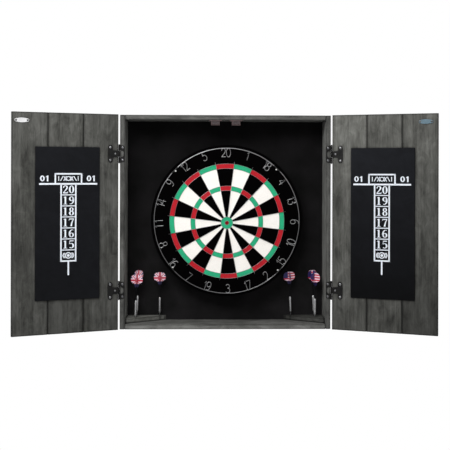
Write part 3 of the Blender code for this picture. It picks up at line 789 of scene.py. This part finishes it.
def sisal_disc(looks):
    """The pressed face, its dyed sectors cut in its mesh. They stand about the playing circle's centre."""
    depth = BOARD_HIGH.y - BOARD_LOW.y
    edge = 0.0012
    rims = ((BOARD_RADIUS - edge, 0.0), (BOARD_RADIUS, edge))
    per_sector = 6
    steps = SECTORS * per_sector
    angles = [math.tau * (j / steps + 0.5 / SECTORS) for j in range(steps)]
    home = FIELD_SPACE.inverted() @ BOARD_CENTRE
    shape = bmesh.new()
    centre = shape.verts.new((0, 0, 0))
    rings = []
    for i in range(SPOKE_RING):
        rings.append([shape.verts.new(point) for point in field_ring(i, 0, angles)])
    for r, y in rims:
        rim = [(home.x + r * math.sin(a), y, home.z + r * math.cos(a)) for a in angles]
        rings.append([shape.verts.new(point) for point in rim])
    back = [shape.verts.new((v.co.x, depth, v.co.z)) for v in rings[-1]]
    for j in range(steps):
        after = (j + 1) % steps
        shape.faces.new((centre, rings[0][j], rings[0][after])).material_index = BULL_DYE
        sector = (j // per_sector + 1) % SECTORS
        for i, (inner, outer) in enumerate(zip(rings, rings[1:])):
            face = shape.faces.new((inner[j], outer[j], outer[after], inner[after]))
            if i < SPOKE_RING - 1:
                face.material_index = dye(i, sector)
        shape.faces.new((rings[-1][j], back[j], back[after], rings[-1][after]))
    shape.faces.new(back)
    piece("sisal_disc", shape, looks, "dartboard", FIELD_SPACE, ("sisal_face",))


def dye(inner_ring, sector):
    """Material number of a patch between the bull and the double ring's wire."""
    dark = sector % 2 == 0
    if inner_ring == 0:
        return GREEN_DYE
    if inner_ring in (TREBLE_RINGS[0], DOUBLE_RINGS[0]):
        return RED_DYE if dark else GREEN_DYE
    return BLACK_DYE if dark else CREAM_DYE


def ring_clip(node, look):
    low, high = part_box(node)
    centre = (low + high) / 2
    radius, height = (high.x - low.x) / 2, high.y - low.y
    dome = ((0, 0), (0.92, 0), (1, 0.1), (1, 0.55), (0.86, 0.85), (0.6, 1), (0.28, 1), (0.22, 0.8), (0, 0.78))
    profile = [(radius * r, -height * y) for r, y in dome]
    space = Matrix.Translation((centre.x, high.y, centre.z))
    piece(f"{node}_cap", turned(profile, 24, "Y"), look, "dartboard", space, (node,), 35)


# Digits of bent wire: the width, and strokes of (points, smooth, closed) in a box one unit high
DIGITS = {
    "0": (0.56, [
        ([(0.28, 1), (0.53, 0.76), (0.56, 0.5), (0.53, 0.24), (0.28, 0), (0.03, 0.24), (0, 0.5),
          (0.03, 0.76)], True, True),
    ]),
    "1": (0.20, [([(0.0, 0.76), (0.18, 1), (0.18, 0)], False, False)]),
    "2": (0.56, [
        ([(0.02, 0.74), (0.10, 0.94), (0.29, 1), (0.50, 0.90), (0.53, 0.70), (0.40, 0.44), (0.18, 0.20),
          (0.02, 0.02)], True, False),
        ([(0.02, 0.02), (0.56, 0.02)], False, False),
    ]),
    "3": (0.56, [
        ([(0.03, 0.86), (0.27, 1), (0.50, 0.84), (0.45, 0.62), (0.24, 0.55)], True, False),
        ([(0.24, 0.55), (0.50, 0.46), (0.55, 0.24), (0.42, 0.04), (0.22, 0), (0.0, 0.14)], True, False),
    ]),
    "4": (0.58, [([(0.42, 0), (0.42, 1), (0.0, 0.30), (0.58, 0.30)], False, False)]),
    "5": (0.56, [
        ([(0.52, 1), (0.10, 1), (0.06, 0.58)], False, False),
        ([(0.06, 0.58), (0.28, 0.65), (0.52, 0.50), (0.54, 0.22), (0.38, 0.02), (0.16, 0.01),
          (0.0, 0.12)], True, False),
    ]),
    "6": (0.56, [
        ([(0.50, 0.94), (0.26, 0.96), (0.08, 0.76), (0.0, 0.40), (0.08, 0.08), (0.28, 0), (0.50, 0.10),
          (0.55, 0.32), (0.44, 0.54), (0.26, 0.57), (0.06, 0.44)], True, False),
    ]),
    "7": (0.54, [([(0, 1), (0.54, 1), (0.18, 0)], False, False)]),
    "8": (0.56, [
        ([(0.28, 1), (0.49, 0.90), (0.50, 0.66), (0.28, 0.55), (0.06, 0.66), (0.07, 0.90)], True, True),
        ([(0.28, 0.55), (0.53, 0.42), (0.54, 0.12), (0.28, 0), (0.02, 0.12), (0.03, 0.42)], True, True),
    ]),
}
DIGITS["9"] = (0.56, [([(0.56 - x, 1 - y) for x, y in DIGITS["6"][1][0][0]], True, False)])


DIGIT_WIDE = 0.85
DIGIT_GAP, ELEVEN_GAP = 0.11, 0.45
NUMERAL_TALL = 0.0250
NUMERAL_WIRE = 0.0008
NUMERAL_TURN = math.radians(1.1)  # the ring hangs a little less askew than the playing circle
SLEEVE_HALF = math.radians(3.3)
SLEEVE_SWELL = 1.25


def on_ring(centre, radius, angle):
    """Where the playing field's ray at this angle meets a circle about the ring's centre."""
    start = Vector((FIELD_CENTRE.x - centre.x, 0, FIELD_CENTRE.z - centre.z))
    ray = Vector((math.sin(angle), 0, math.cos(angle)))
    along = start.dot(ray)
    length = math.sqrt(along ** 2 - start.length_squared + radius ** 2) - along
    return start + ray * length


def number_ring():
    low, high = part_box("number_ring")
    wire_radius = (high.y - low.y) / 2
    radius = (high.x - low.x) / 2 - wire_radius
    centre = (low + high) / 2
    # The foot factor paints shade on the lower part of the wire ring.
    look = steel("number_wire", (0.42, 0.42, 0.43), (0.30, 0.45), radius=0.0, foot=0.42)
    space = Matrix.Translation(centre)
    loop = [(circle(radius, 0, 32), True, True)]
    body, slot = "number_ring", "grey_wire"
    wire("number_ring_wire", loop, wire_radius, look, body, space, ("number_ring",), 3)
    sleeve_look = plastic("sleeve_black", (0.006, 0.006, 0.006), 0.5, 0.0)
    for name in CLIPS:
        clip_low, clip_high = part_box(f"{name}_ring_clip")
        middle = (clip_low + clip_high) / 2 - centre
        angle = math.atan2(middle.x, middle.z)
        turns = [angle + SLEEVE_HALF * k / 3 for k in (-3, -2, -1, 0, 1, 2, 3)]
        points = [(radius * math.sin(a), 0, radius * math.cos(a)) for a in turns]
        sleeve = [(points, True, False)]
        wire(f"{name}_sleeve", sleeve, wire_radius * SLEEVE_SWELL, sleeve_look, body, space)
    numeral_look = steel("numeral_wire", (0.47, 0.47, 0.48), (0.30, 0.45), radius=0.0)
    middle = radius - NUMERAL_TALL / 2 - NUMERAL_WIRE
    for i, number in enumerate(NUMBERS):
        lower_half = SECTORS / 4 < i < 3 * SECTORS / 4
        digits = str(number)
        gap = ELEVEN_GAP if digits == "11" else DIGIT_GAP
        width = sum(DIGITS[d][0] * DIGIT_WIDE for d in digits) + gap * (len(digits) - 1)
        strokes, start = [], -width / 2
        for digit in digits:
            advance, lines = DIGITS[digit]
            for points, smooth, closed in lines:
                bent = [(start + x * DIGIT_WIDE, 0, z - 0.5) for x, z in points]
                strokes.append(([Vector(p) * NUMERAL_TALL for p in bent], smooth, closed))
            start += advance * DIGIT_WIDE + gap
        point = on_ring(centre, middle, math.tau * i / SECTORS + FIELD_TURN + NUMERAL_TURN)
        place = Matrix.Translation(point) @ Matrix.Rotation(math.atan2(point.x, point.z), 4, "Y")
        if lower_half:
            place = place @ Matrix.Rotation(math.pi, 4, "Y")
        name = f"numeral_{number}"
        wire(name, strokes, NUMERAL_WIRE, numeral_look, body, space @ place)


# Hinges, plates and catches


def screw_shape(radius, height):
    """A domed head with a cross recess, its rim at y = 0 and its top at y = height."""
    steps = 24
    dome = [(radius * math.cos(a), height * math.sin(a)) for a in [math.pi / 2 * i / 5 for i in range(6)]]
    profile = [(0, -0.0006), (radius, -0.0006)] + dome[:-1] + [(0, height)]
    head = turned(profile, steps, "Y")
    mesh = bpy.data.meshes.new("screw")
    head.to_mesh(mesh)
    head.free()
    obj = link("screw", mesh)
    cutter_shape = bmesh.new()
    arm, thick = radius * 0.55, radius * 0.13
    for half_x, half_z in ((arm, thick), (thick, arm)):
        add_shape(cutter_shape, slab((-half_x, height * 0.35, -half_z), (half_x, height * 2, half_z)))
    cutter_mesh = bpy.data.meshes.new("recess")
    cutter_shape.to_mesh(cutter_mesh)
    cutter_shape.free()
    cutter = link("recess", cutter_mesh)
    cut = obj.modifiers.new("recess", "BOOLEAN")
    cut.object = cutter
    cut.operation = "DIFFERENCE"
    cut.solver = "EXACT"
    cut.use_self = True
    bpy.context.view_layer.update()
    shape = bmesh.new()
    shape.from_mesh(obj.evaluated_get(bpy.context.evaluated_depsgraph_get()).to_mesh())
    for each in (obj, cutter):
        bpy.data.objects.remove(each)
    return shape


def screws(name, head, places, look, body):
    """Screw heads of one part, each with its recess turned another way."""
    shape = bmesh.new()
    for i, place in enumerate(places):
        add_shape(shape, head, place @ Matrix.Rotation(0.7 + 1.9 * i, 4, "Y"))
    return piece(name, shape, look, body, smooth=40)


FRAME_SCREWS = ((0.0100, 0.0179), (0.0100, -0.0179))
DOOR_SCREWS = ((0.0256, 0.0185), (0.0256, -0.0185))
NECK_SCREW = (0.0112, 0.0)
HINGE_HEIGHTS = {"upper": 0.1972, "lower": -0.1972}
GAP_HALF = 0.00015


def dress_hinges():
    black = iron()
    bright = steel("bright_screw", (0.34, 0.34, 0.35), (0.25, 0.4), EVEN_GRAIN, 0.0)
    dull = steel("dull_screw", (0.20, 0.20, 0.21), (0.3, 0.45), EVEN_GRAIN, 0.0)
    head, neck_head = screw_shape(0.0034, 0.0010), screw_shape(0.0026, 0.0010)
    for name, side in SIDES:
        pin = Matrix.Translation(JOINTS[f"{name}_door_hinge"]["pos_m"])
        back = Matrix.Rotation(math.pi, 4, "X")
        for level, z in HINGE_HEIGHTS.items():
            hinge = f"{name}_{level}"
            paint(black, f"{hinge}_frame_leaf", f"{hinge}_door_leaf", f"{hinge}_hinge_pin")
            spots = [Matrix.Translation((-side * u, GAP_HALF, z + v)) for u, v in FRAME_SCREWS]
            places = [pin @ spot @ back for spot in spots]
            screws(f"{hinge}_frame_screws", head, places, dull, "cabinet")
            body = f"{name}_door"
            spots = [Matrix.Translation((-side * u, -GAP_HALF, z + v)) for u, v in DOOR_SCREWS]
            places = [DOORS[name] @ spot for spot in spots]
            screws(f"{hinge}_door_screws", head, places, bright, body)
            u, v = NECK_SCREW
            place = DOORS[name] @ Matrix.Translation((-side * u, -GAP_HALF, z + v))
            screws(f"{hinge}_neck_screw", neck_head, [place], bright, body)
    head.free()
    neck_head.free()


PLATE_SCREW_X = 0.016
EAR, EAR_SCREW_X = 0.0028, 0.01575


def dress_catches():
    # The two plates are one steel: the right one is painted dark and bluish, painted shade.
    plates = {
        "left": steel("plate_steel", (0.78, 0.78, 0.79), (0.14, 0.28), (60, 900, 900)),
        "right": steel("shaded_plate_steel", (0.17, 0.25, 0.30), (0.3, 0.45), (60, 900, 900)),
    }
    # Painted shade: the catch case and its magnet are painted darker, partly their own brown and steel,
    # partly shade under the top panel.
    brown = plastic("catch_plastic", (0.062, 0.036, 0.036), 0.5)
    magnet = steel("pole_steel", (0.085, 0.070, 0.072), (0.45, 0.6))
    # Painted shade: the strike and catch screws are painted dark.
    screw_look = steel("small_screw", (0.13, 0.13, 0.13), (0.3, 0.45), EVEN_GRAIN, 0.0)
    plate_head, case_head = screw_shape(0.0031, 0.0008), screw_shape(0.0026, 0.0010)
    for name, side in SIDES:
        paint(brown, f"{name}_catch_case")
        paint(magnet, f"{name}_catch_magnet")
        paint(plates[name], f"{name}_strike_plate")
        low, high = box_in(DOORS[name], f"{name}_strike_plate")
        middle = (low + high) / 2
        spots = [(middle.x + column * PLATE_SCREW_X, high.y - 0.0001, middle.z) for column in (-1, 1)]
        places = [DOORS[name] @ Matrix.Translation(spot) for spot in spots]
        screws(f"{name}_strike_screws", plate_head, places, screw_look, f"{name}_door")
        low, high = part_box(f"{name}_catch_case")
        x, y = (low.x + high.x) / 2, (low.y + high.y) / 2
        down = Matrix.Rotation(-math.pi / 2, 4, "X")
        spots = [(x + column * EAR_SCREW_X, y, high.z - EAR) for column in (-1, 1)]
        places = [Matrix.Translation(spot) @ down for spot in spots]
        screws(f"{name}_catch_screws", case_head, places, screw_look, "cabinet")
    plate_head.free()
    case_head.free()


# Darts

POINT_LENGTH = 0.024
FLIGHT_BOTTOM, FLIGHT_TOP = 0.0846, 0.1226
FLIGHT_MIDDLE = (FLIGHT_BOTTOM + FLIGHT_TOP) / 2 + 0.002


def dart_space(name):
    """Origin at the lower end of the barrel, +Z up the dart, +X along a vane of its flight."""
    up = Vector(JOINTS[f"{name}_dart_lift"]["axis"]).normalized()
    points = node_points(f"{name}_dart_barrel")
    lowest = min(p.dot(up) for p in points)
    axis_points = [p for p in points if p.dot(up) < lowest + 1e-5]
    tip = sum(axis_points, Vector()) / len(axis_points)
    lean = Vector((0, 0, 1)).rotation_difference(up).to_matrix().to_4x4()
    space = Matrix.Translation(tip) @ lean @ Matrix.Translation((0, 0, POINT_LENGTH))
    vanes = node_points(f"{name}_dart_flight", space)
    widest = max(p.to_2d().length for p in vanes)
    # The vanes stand at right angles, so four times their angles agree.
    angles = [4 * math.atan2(p.y, p.x) for p in vanes if p.to_2d().length > widest * 0.98]
    turn = math.atan2(sum(math.sin(a) for a in angles), sum(math.cos(a) for a in angles)) / 4
    return space @ Matrix.Rotation(turn, 4, "Z")


def point_profile():
    tip = -POINT_LENGTH
    return [(0, tip), (0.0005, tip + 0.0012), (0.0011, tip + 0.0042), (0.0011, 0.0006), (0, 0.0006)]


def barrel_profile():
    """A turned grip: a nose taper, rings of grooves in two bands, and a waist between them."""
    profile = [(0, 0.0), (0.0017, 0.0), (0.0024, 0.0012), (0.0031, 0.0045)]
    rings, step, groove = 32, 0.0011, 0.0003
    full, waist, plain = 0.0033, 0.0003, range(13, 18)
    z = 0.0055
    for i in range(rings):
        radius = full - waist * math.sin(math.pi * i / (rings - 1))
        floor = radius if i in plain else radius - groove
        profile += [(radius, z), (radius, z + step * 0.55)]
        profile += [(floor, z + step * 0.62), (floor, z + step * 0.94)]
        z += step
    return profile + [(full, z), (full, 0.0435), (0.0027, 0.0462), (0.0022, 0.0473), (0, 0.0473)]


def stem_profile():
    collar = [(0, 0.0468), (0.0021, 0.0468), (0.0023, 0.0480), (0.0023, 0.0500), (0.0017, 0.0512)]
    shaft = [(0.0015, 0.0600), (0.0014, 0.0740), (0.0017, 0.0762), (0.0018, 0.0790)]
    return collar + shaft + [(0.0018, 0.0870), (0.0014, 0.0878), (0, 0.0878)]


def flight_shape():
    """Two folded vanes at right angles, each of one thin film with a rounded outline."""
    half = 0.00022
    outline = [(0.0020, 0.0), (0.0050, 0.0030), (0.0060, 0.0070), (0.0068, 0.0100), (0.0088, 0.0124)]
    outline += [(0.0136, 0.0142), (0.0164, 0.0170), (0.0172, 0.0210), (0.0172, 0.0272), (0.0161, 0.0316)]
    outline += [(0.0136, 0.0349), (0.0098, 0.0370), (0.0055, 0.0379), (0.0, 0.0380)]
    shape = bmesh.new()
    for quarter in range(4):
        turn = Matrix.Rotation(math.pi / 2 * quarter, 4, "Z")
        film = bmesh.new()
        corners = [(half, outline[0][1])] + outline[:-1] + [(half, outline[-1][1])]
        loop = [film.verts.new((x, -half, z + FLIGHT_BOTTOM)) for x, z in corners]
        face = film.faces.new(loop)
        swept = bmesh.ops.extrude_face_region(film, geom=[face])
        moved = [v for v in swept["geom"] if isinstance(v, bmesh.types.BMVert)]
        bmesh.ops.translate(film, vec=(0, 2 * half, 0), verts=moved)
        add_shape(shape, film, turn)
        film.free()
    return shape


def dress_darts():
    silver = steel("barrel_silver", (0.72, 0.72, 0.73), (0.38, 0.52), EVEN_GRAIN, 0.0)
    point_look = steel("point_steel", (0.60, 0.60, 0.62), (0.15, 0.25), radius=0.0)
    black = plastic("stem_black", (0.0025, 0.0025, 0.0035), 0.6, 0.0, 0.1)
    prints = {"left": flight_print("cross_film", True), "right": flight_print("striped_film", False)}
    for joint in frame["joints"]:
        if not joint["name"].endswith("_dart_lift"):
            continue
        name = joint["name"].removesuffix("_dart_lift")
        body, space = f"{name}_dart", dart_space(name)
        barrel, flight = f"{name}_dart_barrel", f"{name}_dart_flight"
        point = turned(point_profile(), 12)
        piece(f"{name}_point", point, point_look, body, space, smooth=40)
        grip = turned(barrel_profile(), 24)
        piece(f"{name}_barrel", grip, silver, body, space, (barrel,), 35)
        stem = turned(stem_profile(), 16)
        piece(f"{name}_stem", stem, black, body, space, smooth=40)
        film = prints[name.split("_")[0]]
        piece(f"{name}_flight", flight_shape(), film, body, space, (flight,))


# Studio


def studio():
    scene = bpy.context.scene
    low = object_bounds()[0]
    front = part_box("left_panel")[0].y
    camera = bpy.data.cameras.new("camera")
    camera.sensor_width = 36.0
    camera.lens = 67.7
    camera.shift_x = -0.0200
    camera.shift_y = -0.1173
    seat = link("camera", camera)
    seat.location = (-0.0339, front - 2.45, 0.1448)
    seat.rotation_euler = (math.pi / 2, -0.0025, -0.0237)
    scene.camera = seat

    world = bpy.data.worlds.new("studio")
    scene.world = world
    world.use_nodes = True
    tree = world.node_tree
    background = tree.nodes["Background"]
    direction = tree.nodes.new("ShaderNodeTexCoord")
    apart = tree.nodes.new("ShaderNodeSeparateXYZ")
    tree.links.new(direction.outputs["Generated"], apart.inputs[0])
    level = tree.nodes.new("ShaderNodeMapRange")
    for socket, value in (("From Min", -0.2), ("From Max", 0.5), ("To Min", 0.26), ("To Max", 1.0)):
        level.inputs[socket].default_value = value
    tree.links.new(apart.outputs[1], level.inputs["Value"])
    tree.links.new(level.outputs[0], background.inputs["Strength"])
    background.inputs["Color"].default_value = (1, 1, 1, 1)

    for name, place, size, power in (
        ("key", (-0.65, front - 1.25, 1.20), (1.2, 0.8), 32.0),
        ("fill", (0.6, front - 2.4, 0.3), (1.4, 1.4), 6.0),
        ("top", (0.1, front - 0.45, 1.7), (1.6, 0.8), 9.0),
    ):
        lamp = bpy.data.lights.new(name, "AREA")
        lamp.shape = "RECTANGLE"
        lamp.size, lamp.size_y = size
        lamp.energy = power
        stand = link(name, lamp)
        stand.location = place
        aim = Vector((0, front / 2, 0)) - stand.location
        stand.rotation_euler = aim.to_track_quat("-Z", "Y").to_euler()

    floor_shape = bmesh.new()
    bmesh.ops.create_grid(floor_shape, x_segments=1, y_segments=1, size=1.9)
    floor_mesh = bpy.data.meshes.new("floor")
    floor_shape.to_mesh(floor_mesh)
    floor_shape.free()
    floor = link("floor", floor_mesh)
    floor.location = (0, -0.9, low.z - 0.95)
    pale = Look("pale_floor", Roughness=0.9)
    floor_mesh.materials.append(pale.set(Base_Color=(0.82, 0.82, 0.82, 1), Specular_IOR_Level=0.1))
    floor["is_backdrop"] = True
    scene.view_settings.view_transform = "Standard"


dress_cabinet()
dress_doors()
dress_board()
dress_hinges()
dress_catches()
dress_darts()
studio()
